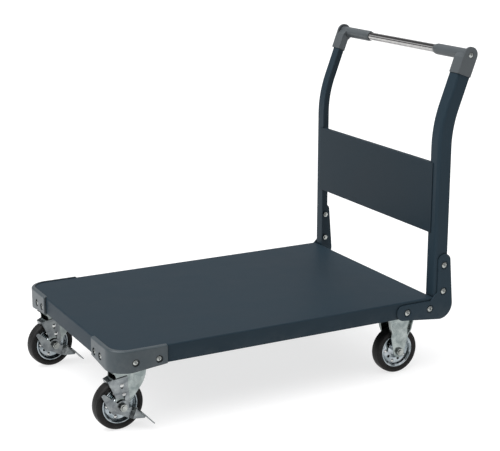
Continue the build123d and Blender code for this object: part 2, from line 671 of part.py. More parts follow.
def swivel_plate(caster):
    """Mounting plate with the pressed-down upper race."""
    level = level_plane(caster, CASTER_HEIGHT)
    with BuildSketch(level) as profile:
        RectangleRounded(PLATE_SHORT, PLATE_LONG, 10)
        with GridLocations(*PLATE_BOLTS, 2, 2):
            Circle(M8_SHANK + 0.2, mode=Mode.SUBTRACT)
    extrude(profile.sketch, amount=-PLATE_SHEET)
    with BuildSketch(turned_plane(level)) as profile:
        with BuildLine():
            Polyline((KINGPIN_RADIUS + 0.05, -PLATE_SHEET), (38, -PLATE_SHEET), (35, -8),
                     (KINGPIN_RADIUS + 0.05, -8), (KINGPIN_RADIUS + 0.05, -PLATE_SHEET))
        make_face()
    spin(profile, level)
    with BuildSketch(level.offset(-CASTER_HEIGHT + 100)) as profile:
        Circle(KINGPIN_RADIUS + 0.05)
    extrude(profile.sketch, amount=80, mode=Mode.SUBTRACT)
    ball_groove(caster)


def ball_groove(caster):
    """Circular groove for the ball race."""
    radial = Plane(origin=caster.origin + Vector(0, 0, BALL_Z), x_dir=(1, 0, 0), z_dir=(0, -1, 0))
    with BuildSketch(radial) as profile:
        with Locations((BALL_CIRCLE, 0)):
            Circle(BALL_RADIUS + 0.1)
    revolve(profile.sketch, axis=Axis(caster.origin, (0, 0, 1)), mode=Mode.SUBTRACT)


def swivel_fork(caster):
    """Pressed fork: crown with the lower race, two leaning legs."""
    with BuildSketch(wheel_side(caster, TRAIL, FORK_HALF)) as profile:
        swivel_leg()
    extrude(profile.sketch, amount=-2 * FORK_HALF)
    clear_between_legs(caster, TRAIL, CROWN_TOP - FORK_WALL)
    crown = Plane(origin=caster.origin + Vector(0, 0, CROWN_TOP), x_dir=caster.x_dir, z_dir=(0, 0, 1))
    bore = KINGPIN_RADIUS + RUNNING
    with BuildSketch(turned_plane(crown)) as profile:
        with BuildLine():
            Polyline((bore, -FORK_WALL), (34, -FORK_WALL), (36, -1), (36, 4), (33, 6.6), (bore, 6.6),
                     (bore, -FORK_WALL))
        make_face()
    spin(profile, crown)
    ball_groove(caster)
    with BuildSketch(crown.offset(-10)) as profile:
        Circle(bore)
    extrude(profile.sketch, amount=30, mode=Mode.SUBTRACT)
    leg_bores(caster, TRAIL)
    for x, z in SHOE_GUIDES:
        drill(shifted(wheel_side(caster, TRAIL, FORK_HALF), x, z), 3.02, FORK_WALL)


SHOE_GUIDES = ((0.7, 53.7), (5.7, 30.4))    # rivets, along the caster and above the axle
SHOE_OUT = FORK_HALF + 0.2                  # inner face of the shoe plate
SHOE_SHEET = 2.4
SHOE_CLEAR = WHEEL_RADIUS + 0.4             # radius of the shoe block's curved face
SHOE_BACK = SHOE_CLEAR + 13                 # radius of the block's outer corners
SHOE_START = 104.5                          # where the block starts, round the axle
SHOE_SPAN = 14.5
PIN_ARM = 13.0                              # lever's drive pin, from the axle
PIN_ANGLE = 10.0
PIN_RADIUS = 1.8
LEVER_OUT = SHOE_OUT + SHOE_SHEET + 0.4     # inner face of the lever
LEVER_SHEET = 2.5
LEVER_STEP = 13.5                           # outward set of the tread
LEVER_SLOPE = 8.0                           # slant of the step along the caster
SHOE_LIFT = PIN_ARM * (sin(radians(PIN_ANGLE + LEVER_THROW)) - sin(radians(PIN_ANGLE)))


def polar(radius, angle):
    """Point at radius and angle about the axle."""
    return (radius * cos(radians(angle)), radius * sin(radians(angle)))


def shoe_plate(caster):
    """Brake shoe: flat plate sliding on the leg, with a block that reaches over the tread."""
    pin_x, pin_z = polar(PIN_ARM, PIN_ANGLE)
    pin_end = PIN_ARM * cos(radians(PIN_ANGLE + LEVER_THROW))
    with BuildSketch(wheel_side(caster, TRAIL, SHOE_OUT)) as profile:
        with BuildLine():
            Polyline((-36.5, 69.5), (-14.6, 22), (7.2, 22), (7.2, -3), (17, -3), (20.7, 12.7),
                     (16.4, 44.7), (16, 74.7), (-36.5, 69.5))
        make_face()
        for x, z in SHOE_GUIDES:
            with Locations((x, z - SHOE_LIFT / 2)):
                SlotCenterToCenter(SHOE_LIFT + 0.4, 6.4, rotation=90, mode=Mode.SUBTRACT)
        with Locations(((pin_x + pin_end) / 2, pin_z)):
            SlotCenterToCenter(pin_x - pin_end + 0.4, 2 * PIN_RADIUS + 0.6, mode=Mode.SUBTRACT)
    extrude(profile.sketch, amount=SHOE_SHEET)
    with BuildSketch(wheel_side(caster, TRAIL, -6)) as profile:
        with BuildLine():
            face = CenterArc((0, 0), SHOE_CLEAR, SHOE_START, SHOE_SPAN)
            Polyline(face @ 0, polar(SHOE_BACK, SHOE_START + 2), polar(SHOE_BACK, SHOE_START + SHOE_SPAN - 2),
                     face @ 1)
        make_face()
    extrude(profile.sketch, amount=6 + SHOE_OUT + SHOE_SHEET)


def shoe_rivets(caster):
    """Shoulder rivets that guide the shoe plate on the leg."""
    head = SHOE_OUT + SHOE_SHEET + 0.15
    for x, z in SHOE_GUIDES:
        seat = shifted(wheel_side(caster, TRAIL, 0), x, z)
        with BuildSketch(turned_plane(seat)) as profile:
            with BuildLine():
                TangentArc((0, head + 1.8), (5.2, head), tangent=(1, 0))
                Polyline((5.2, head), (3, head), (3, 20.5), (4.6, 20.5), (4, 19.4), (0, 19.4),
                         (0, head + 1.8))
            make_face()
        spin(profile, seat)


def lever(caster):
    """Brake lever on the axle: ear, drive pin, outward step and tread plate, bent from one sheet."""
    with BuildSketch(wheel_side(caster, TRAIL, LEVER_OUT)) as profile:
        with BuildLine():
            Polyline((12, 11), (17, -5), (26.2, -5), (15.4, -31.4), (-2.5, -20.5), (-14.5, -15),
                     (-25.5, -14.4), (-36, 0), (-52, 33))
            ThreePointArc((-52, 33), (-51.5, 39.5), (-46, 41))
            Line((-46, 41), (-12, 11))
            ThreePointArc((-12, 11), (0, 16.3), (12, 11))
        make_face()
        Circle(AXLE_RADIUS + RUNNING, mode=Mode.SUBTRACT)
    extrude(profile.sketch, amount=LEVER_SHEET)
    with BuildSketch(wheel_side(caster, TRAIL, LEVER_OUT)) as profile:
        with Locations(polar(PIN_ARM, PIN_ANGLE)):
            Circle(PIN_RADIUS)
    extrude(profile.sketch, amount=FORK_HALF + 0.4 - LEVER_OUT)
    slope = []
    for out, along in ((0, 0), (LEVER_STEP, LEVER_SLOPE)):
        with BuildSketch(wheel_side(caster, TRAIL, LEVER_OUT + out)) as profile:
            with BuildLine():
                Polyline((along + 15.4, -31.4), (along + 26.2, -5), (along + 23.9, -4), (along + 13.1, -30.4),
                         (along + 15.4, -31.4))
            make_face()
        slope.append(profile.sketch)
    loft(slope)
    with BuildSketch(wheel_side(caster, TRAIL, LEVER_OUT + LEVER_STEP)) as profile:
        with BuildLine():
            Polyline((LEVER_SLOPE + 13.1, -30.4), (LEVER_SLOPE + 23.9, -4), (34.8, -8.6), (54.5, -31.2),
                     (52, -35), (LEVER_SLOPE + 13.1, -30.4))
        make_face()
    extrude(profile.sketch, amount=-LEVER_SHEET)
    with BuildSketch(wheel_side(caster, TRAIL, LEVER_OUT + LEVER_STEP - LEVER_SHEET)) as profile:
        with BuildLine():
            Polyline((35.3, -8), (68.3, -43.8), (66.4, -45.6), (33.4, -9.8), (35.3, -8))
        make_face()
    extrude(profile.sketch, amount=24)


FORK_TOP = CASTER_HEIGHT - PLATE_SHEET


def rigid_leg_edges(z):
    """Front and rear edge of a rigid leg at height z above the axle."""
    return (-17 - z * 0.2, 17 + z * 0.265)


def rigid_fork(caster):
    """Rigid fork: two straight legs with turned-out edges, welded under a mounting plate."""
    top = FORK_TOP - WHEEL_RADIUS
    taper = 43.0
    top_front, top_rear = rigid_leg_edges(top)
    low_front, low_rear = rigid_leg_edges(taper)
    with BuildSketch(level_plane(caster, FORK_TOP)) as profile:
        RectangleRounded(PLATE_SHORT, PLATE_LONG, 10)
        with GridLocations(*PLATE_BOLTS, 2, 2):
            Circle(M8_SHANK + 0.2, mode=Mode.SUBTRACT)
    extrude(profile.sketch, amount=PLATE_SHEET)
    with BuildSketch(wheel_side(caster, 0, FORK_HALF)) as profile:
        with BuildLine():
            Polyline((-LEG_FOOT, 0), (top_front, top), (top_rear, top), (LEG_FOOT, 0))
            ThreePointArc((LEG_FOOT, 0), (0, -LEG_FOOT), (-LEG_FOOT, 0))
        make_face()
    extrude(profile.sketch, amount=-2 * FORK_HALF)
    with BuildSketch(wheel_side(caster, 0, FORK_HALF + 7)) as profile:
        with BuildLine():
            Polyline((low_front, taper), (top_front, top), (top_front + 3, top), (low_front + 3, taper),
                     (low_front, taper))
        make_face()
        with BuildLine():
            Polyline((low_rear, taper), (top_rear, top), (top_rear - 3, top), (low_rear - 3, taper),
                     (low_rear, taper))
        make_face()
    extrude(profile.sketch, amount=-2 * (FORK_HALF + 7))
    wide = FORK_HALF + 8
    low = WHEEL_RADIUS + taper - 1
    with BuildSketch(Plane(origin=caster.origin, x_dir=(0, 1, 0), z_dir=(1, 0, 0))) as profile:
        for side in (-1, 1):
            with BuildLine():
                Polyline((side * FORK_HALF, low), (side * wide, low + 18), (side * wide, low),
                         (side * FORK_HALF, low))
            make_face()
    extrude(profile.sketch, amount=60, both=True, mode=Mode.SUBTRACT)
    clear_between_legs(caster, 0, FORK_TOP - FORK_WALL)
    leg_bores(caster, 0)


def kingpin(caster):
    """Riveted pin that carries the swivel fork: head below the crown, shank through the plate."""
    base = level_plane(caster, 0)
    under = CROWN_TOP - FORK_WALL - 0.2
    with BuildSketch(turned_plane(base)) as profile:
        with BuildLine():
            Polyline((0, under - 6), (11, under - 6), (14, under - 3), (14, under),
                     (KINGPIN_RADIUS, under),
                     (KINGPIN_RADIUS, CASTER_HEIGHT - 0.1), (0, CASTER_HEIGHT - 0.1), (0, under - 6))
        make_face()
    spin(profile, base)


def race_balls(caster):
    """Ring of balls between crown and mounting plate."""
    for angle in range(0, 360, 20):
        x, y = BALL_CIRCLE * cos(radians(angle)), BALL_CIRCLE * sin(radians(angle))
        origin = caster.origin + Vector(x, y, BALL_Z)
        with BuildSketch(Plane(origin=origin, x_dir=(1, 0, 0), z_dir=(0, -1, 0))) as profile:
            with BuildLine():
                ThreePointArc((0, -BALL_RADIUS), (BALL_RADIUS, 0), (0, BALL_RADIUS))
                Line((0, BALL_RADIUS), (0, -BALL_RADIUS))
            make_face()
        revolve(profile.sketch, axis=Axis(origin, (0, 0, 1)))


SWIVEL_PIECES = {
    "swivel_plate": swivel_plate,
    "kingpin": kingpin,
    "swivel_fork": swivel_fork,
    "race_balls": race_balls,
    "brake_shoe": shoe_plate,
    "shoe_rivets": shoe_rivets,
    "brake_lever": lever,
}
LEVER_NUT_SEAT = LEVER_OUT + LEVER_SHEET + 0.3

for side, caster in FRONT_CASTERS.items():
    for name, draw in SWIVEL_PIECES.items():
        with BuildPart() as piece:
            draw(caster)
        save(piece, f"{name}_{side}")
    with BuildPart() as axle:
        axle_bolt(caster, TRAIL, tip=LEVER_NUT_SEAT + 10)
    save(axle, f"axle_bolt_{side}")
    with BuildPart() as nut:
        hex_nut(wheel_side(caster, TRAIL, LEVER_NUT_SEAT), corner=10.2, height=8.0, bore=AXLE_RADIUS)
    save(nut, f"axle_nut_{side}")
    make_wheel(caster, TRAIL, f"front_{side}")

for side, caster in REAR_CASTERS.items():
    with BuildPart() as fork:
        rigid_fork(caster)
    save(fork, f"rigid_fork_{side}")
    make_wheel(caster, 0, f"rear_{side}")

with BuildPart() as rear_axle_bolts:
    for caster in REAR_CASTERS.values():
        axle_bolt(caster, 0, tip=FORK_HALF + 10)
save(rear_axle_bolts, "rear_axle_bolts")

with BuildPart() as rear_axle_nuts:
    for caster in REAR_CASTERS.values():
        hex_nut(wheel_side(caster, 0, FORK_HALF), corner=10.2, height=8.0, bore=AXLE_RADIUS)
save(rear_axle_nuts, "rear_axle_nuts")

plate_corners = [
    caster.origin + Vector(x * PLATE_BOLTS[0] / 2, y * PLATE_BOLTS[1] / 2, 0)
    for caster in [*FRONT_CASTERS.values(), *REAR_CASTERS.values()]
    for x in (-1, 1)
    for y in (-1, 1)
]

with BuildPart() as plate_bolts:
    for corner in plate_corners:
        under_plate = facing(corner + Vector(0, 0, FORK_TOP), (0, 0, -1), (1, 0, 0))
        pan_screw(under_plate, reach=15.0, head=7.4, height=4.4)
save(plate_bolts, "plate_bolts")

with BuildPart() as plate_nuts:
    for corner in plate_corners:
        hex_nut(facing(corner + Vector(0, 0, CASTER_HEIGHT + CHANNEL_SHEET), (0, 0, 1), (1, 0, 0)))
save(plate_nuts, "plate_nuts")
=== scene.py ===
"""Platform cart: finishes, small welded and moulded details, studio floor, lights and camera.

Lengths are in metres and angles in degrees. The floor is at z = 0 and +X points towards the push handle.
"""
import bpy
import json
from math import cos, pi, radians, sin
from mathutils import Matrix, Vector


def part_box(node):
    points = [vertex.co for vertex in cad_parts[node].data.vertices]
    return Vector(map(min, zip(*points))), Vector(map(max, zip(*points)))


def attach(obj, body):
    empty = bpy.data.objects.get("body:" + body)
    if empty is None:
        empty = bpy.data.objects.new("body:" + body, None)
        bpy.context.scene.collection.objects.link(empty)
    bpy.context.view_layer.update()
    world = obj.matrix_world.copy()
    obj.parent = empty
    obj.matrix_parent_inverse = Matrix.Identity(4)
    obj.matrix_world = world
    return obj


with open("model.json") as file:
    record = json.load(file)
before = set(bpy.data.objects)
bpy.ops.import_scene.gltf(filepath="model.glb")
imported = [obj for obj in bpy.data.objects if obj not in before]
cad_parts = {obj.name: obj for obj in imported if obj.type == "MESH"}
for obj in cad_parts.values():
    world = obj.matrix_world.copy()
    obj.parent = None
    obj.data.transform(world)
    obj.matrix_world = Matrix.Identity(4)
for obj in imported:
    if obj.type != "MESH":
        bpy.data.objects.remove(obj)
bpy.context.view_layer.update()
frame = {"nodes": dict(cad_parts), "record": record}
nodes = frame["nodes"]
scene = bpy.context.scene


# ---------------------------------------------------------------- node groups shared by the finishes
BEVEL_SAMPLES = 4
CREVICE_SAMPLES = 6


def new_group(name, inputs, outputs):
    """Empty shader group with named float or vector sockets."""
    kinds = {"value": "NodeSocketFloat", "vector": "NodeSocketVector"}
    tree = bpy.data.node_groups.new(name, "ShaderNodeTree")
    for label, kind, default in inputs:
        socket = tree.interface.new_socket(label, in_out="INPUT", socket_type=kinds[kind])
        socket.default_value = default
    for label, kind in outputs:
        tree.interface.new_socket(label, in_out="OUTPUT", socket_type=kinds[kind])
    return tree, tree.nodes.new("NodeGroupInput"), tree.nodes.new("NodeGroupOutput")


def math_node(tree, operation, first, second, clamp=False):
    """Math node fed by sockets or plain numbers."""
    node = tree.nodes.new("ShaderNodeMath")
    node.operation = operation
    node.use_clamp = clamp
    for socket, value in zip(node.inputs, (first, second)):
        if isinstance(value, (int, float)):
            socket.default_value = value
        else:
            tree.links.new(value, socket)
    return node.outputs[0]


def noise(tree, scale, detail=3.0, roughness=0.5, stretch=None, distortion=0.0):
    """Noise over the piece's own coordinates; scale may be a socket."""
    coords = tree.nodes.new("ShaderNodeTexCoord").outputs["Object"]
    if stretch:
        mapping = tree.nodes.new("ShaderNodeMapping")
        mapping.inputs["Scale"].default_value = stretch
        tree.links.new(coords, mapping.inputs["Vector"])
        coords = mapping.outputs["Vector"]
    node = tree.nodes.new("ShaderNodeTexNoise")
    node.inputs["Detail"].default_value = detail
    node.inputs["Roughness"].default_value = roughness
    node.inputs["Distortion"].default_value = distortion
    tree.links.new(coords, node.inputs["Vector"])
    if isinstance(scale, (int, float)):
        node.inputs["Scale"].default_value = scale
    else:
        tree.links.new(scale, node.inputs["Scale"])
    return node.outputs["Fac"]


def smooth_range(tree, value, low, high):
    """Smooth step of a value from low to high."""
    node = tree.nodes.new("ShaderNodeMapRange")
    node.interpolation_type = "SMOOTHSTEP"
    node.inputs["From Min"].default_value = low
    node.inputs["From Max"].default_value = high
    tree.links.new(value, node.inputs["Value"])
    return node.outputs["Result"]


def build_edge_group():
    """Rounded-edge normal, and a broken mask along the edges."""
    tree, given, result = new_group(
        "Worn edges",
        [("Radius", "value", 0.0008), ("Wear", "value", 0.4), ("Break-up scale", "value", 60.0)],
        [("Edge", "value"), ("Normal", "vector")],
    )
    bevel = tree.nodes.new("ShaderNodeBevel")
    bevel.samples = BEVEL_SAMPLES
    tree.links.new(given.outputs["Radius"], bevel.inputs["Radius"])
    geometry = tree.nodes.new("ShaderNodeNewGeometry")
    dot = tree.nodes.new("ShaderNodeVectorMath")
    dot.operation = "DOT_PRODUCT"
    tree.links.new(bevel.outputs["Normal"], dot.inputs[0])
    tree.links.new(geometry.outputs["Normal"], dot.inputs[1])
    bend = math_node(tree, "SUBTRACT", 1.0, dot.outputs["Value"])
    sharp = smooth_range(tree, bend, 0.02, 0.2)
    patchy = smooth_range(tree, noise(tree, given.outputs["Break-up scale"], 4.0, 0.65), 0.42, 0.66)
    worn = math_node(tree, "MULTIPLY", sharp, patchy)
    mask = math_node(tree, "MULTIPLY", worn, given.outputs["Wear"], clamp=True)
    tree.links.new(mask, result.inputs["Edge"])
    tree.links.new(bevel.outputs["Normal"], result.inputs["Normal"])
    return tree


def build_peel_group():
    """Sprayed and stoved paint: fine orange peel, slow mottling, and a few dust nibs."""
    tree, given, result = new_group(
        "Orange peel",
        [("Peel scale", "value", 420.0), ("Peel depth", "value", 0.5)],
        [("Height", "value"), ("Mottle", "value")],
    )
    peel = noise(tree, given.outputs["Peel scale"], 2.0, 0.45)
    nibs = smooth_range(tree, noise(tree, 900.0, 1.0, 0.4), 0.72, 0.8)
    surface = math_node(tree, "MULTIPLY", peel, given.outputs["Peel depth"])
    tree.links.new(math_node(tree, "ADD", surface, nibs), result.inputs["Height"])
    tree.links.new(noise(tree, 9.0, 4.0, 0.55), result.inputs["Mottle"])
    return tree


def build_grain_group():
    """Spark-eroded mould grain with a slow shade drift."""
    tree, given, result = new_group(
        "Mould grain",
        [("Grain scale", "value", 1100.0), ("Grain depth", "value", 1.0)],
        [("Height", "value"), ("Drift", "value")],
    )
    grain = noise(tree, given.outputs["Grain scale"], 3.0, 0.7)
    height = math_node(tree, "MULTIPLY", grain, given.outputs["Grain depth"])
    tree.links.new(height, result.inputs["Height"])
    tree.links.new(noise(tree, 16.0, 3.0, 0.5), result.inputs["Drift"])
    return tree


def build_plating_group():
    """Zinc plate over pressed sheet: cloudy tone, slow waves, rolling lines and a fine tooth."""
    tree, given, result = new_group(
        "Zinc plating",
        [("Cloud scale", "value", 45.0), ("Line strength", "value", 0.5), ("Waviness", "value", 1.0)],
        [("Cloud", "value"), ("Height", "value")],
    )
    clouds = noise(tree, given.outputs["Cloud scale"], 5.0, 0.6, distortion=0.6)
    cloud = smooth_range(tree, clouds, 0.25, 0.75)
    lines = noise(tree, 260.0, 2.0, 0.5, stretch=(0.12, 0.12, 3.0))
    tooth = noise(tree, 1500.0, 2.0, 0.6)
    lined = math_node(tree, "MULTIPLY", lines, given.outputs["Line strength"])
    fine = math_node(tree, "ADD", lined, math_node(tree, "MULTIPLY", tooth, 0.3))
    waves = math_node(tree, "MULTIPLY", noise(tree, 85.0, 1.0, 0.4), given.outputs["Waviness"])
    shallow = math_node(tree, "MULTIPLY", fine, 0.25)
    deep = math_node(tree, "MULTIPLY", waves, 4.0)
    height = math_node(tree, "ADD", shallow, deep)
    tree.links.new(cloud, result.inputs["Cloud"])
    tree.links.new(height, result.inputs["Height"])
    return tree


def build_dust_group():
    """Workshop dust in patches, thicker close to the floor."""
    tree, given, result = new_group(
        "Floor dust",
        [("Amount", "value", 0.2), ("Reach", "value", 0.16)],
        [("Dust", "value")],
    )
    coords = tree.nodes.new("ShaderNodeTexCoord").outputs["Object"]
    split = tree.nodes.new("ShaderNodeSeparateXYZ")
    tree.links.new(coords, split.inputs["Vector"])
    height = math_node(tree, "DIVIDE", split.outputs["Z"], given.outputs["Reach"])
    low = math_node(tree, "SUBTRACT", 1.0, height, clamp=True)
    patches = smooth_range(tree, noise(tree, 35.0, 5.0, 0.65), 0.35, 0.75)
    settled = math_node(tree, "MULTIPLY", low, patches)
    dust = math_node(tree, "MULTIPLY", settled, given.outputs["Amount"], clamp=True)
    tree.links.new(dust, result.inputs["Dust"])
    return tree


def build_crevice_shade_group():
    """Painted shade laid into recesses and along joints where ambient occlusion finds them, broken up by
    noise.
    """
    tree, given, result = new_group(
        "Crevice painted shade",
        [("Distance", "value", 0.008), ("Strength", "value", 0.7)],
        [("Painted shade", "value")],
    )
    # painted shade: occlusion decides where the colour is darkened
    shade = tree.nodes.new("ShaderNodeAmbientOcclusion")
    shade.samples = CREVICE_SAMPLES
    tree.links.new(given.outputs["Distance"], shade.inputs["Distance"])
    hidden = math_node(tree, "SUBTRACT", 1.0, shade.outputs["AO"])
    deep = smooth_range(tree, hidden, 0.12, 0.6)
    uneven = smooth_range(tree, noise(tree, 130.0, 3.0, 0.6), 0.1, 0.6)
    patchy_shade = math_node(tree, "MULTIPLY", deep, uneven)
    mask = math_node(tree, "MULTIPLY", patchy_shade, given.outputs["Strength"])
    tree.links.new(mask, result.inputs["Painted shade"])
    return tree


EDGES = build_edge_group()
PEEL = build_peel_group()
GRAIN = build_grain_group()
PLATING = build_plating_group()
DUST = build_dust_group()
# painted shade in recesses, shared by the paint, plastic and steel finishes
CREVICE_SHADE = build_crevice_shade_group()


# ---------------------------------------------------------------- finishes
MIX_FIRST = 6       # the Mix node's colour sockets, by number because their names repeat
MIX_SECOND = 7
MIX_RESULT = 2


def tinted(colour, factor, lift=0.0):
    """Colour scaled by a factor and lifted by a constant."""
    return tuple(channel * factor + lift for channel in colour)


class Finish:
    """One material with its Principled shader and the nodes that every finish needs."""

    def __init__(self, name):
        self.material = bpy.data.materials.new(name)
        self.material.use_nodes = True
        self.tree = self.material.node_tree
        self.shader = self.tree.nodes["Principled BSDF"]

    def group(self, tree, **values):
        """Place a shared group with its own values."""
        node = self.tree.nodes.new("ShaderNodeGroup")
        node.node_tree = tree
        for label, value in values.items():
            node.inputs[label.replace("_", " ").capitalize()].default_value = value
        return node

    def mix(self, mask, first, second):
        """Blend two colours, or a socket and a colour, by a mask."""
        node = self.tree.nodes.new("ShaderNodeMix")
        node.data_type = "RGBA"
        self.tree.links.new(mask, node.inputs["Factor"])
        for socket, value in ((node.inputs[MIX_FIRST], first), (node.inputs[MIX_SECOND], second)):
            if isinstance(value, tuple):
                socket.default_value = (*value, 1.0)
            else:
                self.tree.links.new(value, socket)
        return node.outputs[MIX_RESULT]

    def spread(self, value, low, high):
        """Map a 0 to 1 mask onto a range."""
        node = self.tree.nodes.new("ShaderNodeMapRange")
        node.inputs["To Min"].default_value = low
        node.inputs["To Max"].default_value = high
        self.tree.links.new(value, node.inputs["Value"])
        return node.outputs["Result"]

    def bump(self, height, normal, strength, distance):
        """Raise the surface by a height mask on top of the rounded edges."""
        node = self.tree.nodes.new("ShaderNodeBump")
        node.inputs["Strength"].default_value = strength
        node.inputs["Distance"].default_value = distance
        self.tree.links.new(height, node.inputs["Height"])
        self.tree.links.new(normal, node.inputs["Normal"])
        self.tree.links.new(node.outputs["Normal"], self.shader.inputs["Normal"])

    def feed(self, label, socket):
        """Link a socket into the shader."""
        self.tree.links.new(socket, self.shader.inputs[label])

    def set(self, **values):
        """Plain numbers on the shader's own sockets."""
        for label, value in values.items():
            self.shader.inputs[label.replace("_", " ")].default_value = value


def stoved_paint(name, colour, roughness=0.42, wear=0.25):
    """Slate stoving enamel on sheet steel, rubbed lighter along the edges."""
    paint = Finish(name)
    edges = paint.group(EDGES, radius=0.0012, wear=wear)
    peel = paint.group(PEEL, peel_depth=0.6)
    dust = paint.group(DUST, amount=0.25, reach=0.2)
    crevice_shade = paint.group(CREVICE_SHADE, strength=0.75)
    base = paint.mix(peel.outputs["Mottle"], tinted(colour, 0.9), tinted(colour, 1.14))
    base = paint.mix(edges.outputs["Edge"], base, tinted(colour, 2.0, 0.03))
    # painted shade: near-black laid into recesses found by occlusion
    base = paint.mix(crevice_shade.outputs["Painted shade"], base, (0.004, 0.005, 0.006))
    base = paint.mix(dust.outputs["Dust"], base, (0.32, 0.31, 0.29))
    paint.feed("Base Color", base)
    paint.feed("Roughness", paint.spread(peel.outputs["Mottle"], roughness - 0.06, roughness + 0.07))
    paint.bump(peel.outputs["Height"], edges.outputs["Normal"], 0.1, 0.0004)
    paint.set(Specular_IOR_Level=0.09)
    return paint.material


def moulded_plastic(name, colour, roughness=0.52):
    """Grained grey moulding, scuffed along its edges."""
    plastic = Finish(name)
    edges = plastic.group(EDGES, radius=0.0016, wear=0.5)
    grain = plastic.group(GRAIN, grain_depth=1.0)
    dust = plastic.group(DUST, amount=0.2, reach=0.25)
    crevice_shade = plastic.group(CREVICE_SHADE, strength=0.75)
    base = plastic.mix(grain.outputs["Drift"], tinted(colour, 0.88), tinted(colour, 1.12))
    base = plastic.mix(edges.outputs["Edge"], base, tinted(colour, 1.5, 0.03))
    # painted shade: near-black laid into recesses found by occlusion
    base = plastic.mix(crevice_shade.outputs["Painted shade"], base, (0.006, 0.006, 0.007))
    base = plastic.mix(dust.outputs["Dust"], base, (0.36, 0.35, 0.33))
    plastic.feed("Base Color", base)
    plastic.feed("Roughness", plastic.spread(grain.outputs["Drift"], roughness - 0.07, roughness + 0.08))
    plastic.bump(grain.outputs["Height"], edges.outputs["Normal"], 0.35, 0.00025)
    plastic.set(Specular_IOR_Level=0.3)
    return plastic.material


def plated_steel(name, light, dark, roughness, lines=0.5, waves=1.0):
    """Zinc-plated sheet or turned steel: cloudy, darkened by painted shade in its recesses and dusty near
    the floor.
    """
    steel = Finish(name)
    edges = steel.group(EDGES, radius=0.0006, wear=0.6)
    plating = steel.group(PLATING, cloud_scale=45.0, line_strength=lines, waviness=waves)
    dust = steel.group(DUST, amount=0.3, reach=0.17)
    crevice_shade = steel.group(CREVICE_SHADE, distance=0.005, strength=0.7)
    base = steel.mix(plating.outputs["Cloud"], dark, light)
    base = steel.mix(edges.outputs["Edge"], base, tinted(light, 1.25))
    # painted shade: dark colour laid into recesses found by occlusion
    base = steel.mix(crevice_shade.outputs["Painted shade"], base, (0.03, 0.03, 0.032))
    base = steel.mix(dust.outputs["Dust"], base, (0.16, 0.14, 0.12))
    steel.feed("Base Color", base)
    steel.feed("Roughness", steel.spread(plating.outputs["Cloud"], roughness + 0.1, roughness - 0.06))
    steel.bump(plating.outputs["Height"], edges.outputs["Normal"], 0.6, 0.0002)
    steel.set(Metallic=1.0)
    return steel.material


def chromed_tube(name):
    """Bright chrome with a faint cloudiness."""
    chrome = Finish(name)
    edges = chrome.group(EDGES, radius=0.0004, wear=0.0)
    plating = chrome.group(PLATING, cloud_scale=70.0, line_strength=0.05, waviness=0.03)
    chrome.feed("Base Color", chrome.mix(plating.outputs["Cloud"], (0.36, 0.36, 0.36), (0.5, 0.49, 0.48)))
    chrome.feed("Roughness", chrome.spread(plating.outputs["Cloud"], 0.1, 0.05))
    chrome.bump(plating.outputs["Height"], edges.outputs["Normal"], 0.03, 0.0001)
    chrome.set(Metallic=1.0)
    return chrome.material


def tread_rubber(name):
    """Black solid rubber, scuffed along its edges and dusty near the floor."""
    rubber = Finish(name)
    edges = rubber.group(EDGES, radius=0.0012, wear=0.7)
    grain = rubber.group(GRAIN, grain_scale=700.0, grain_depth=1.2)
    dust = rubber.group(DUST, amount=0.3, reach=0.1)
    base = rubber.mix(grain.outputs["Drift"], (0.004, 0.004, 0.004), (0.009, 0.009, 0.009))
    base = rubber.mix(edges.outputs["Edge"], base, (0.03, 0.03, 0.03))
    base = rubber.mix(dust.outputs["Dust"], base, (0.05, 0.047, 0.043))
    rubber.feed("Base Color", base)
    rubber.feed("Roughness", rubber.spread(grain.outputs["Drift"], 0.42, 0.6))
    rubber.bump(grain.outputs["Height"], edges.outputs["Normal"], 0.4, 0.0003)
    rubber.set(Specular_IOR_Level=0.2)
    return rubber.material


SLATE = (0.0165, 0.0295, 0.0405)
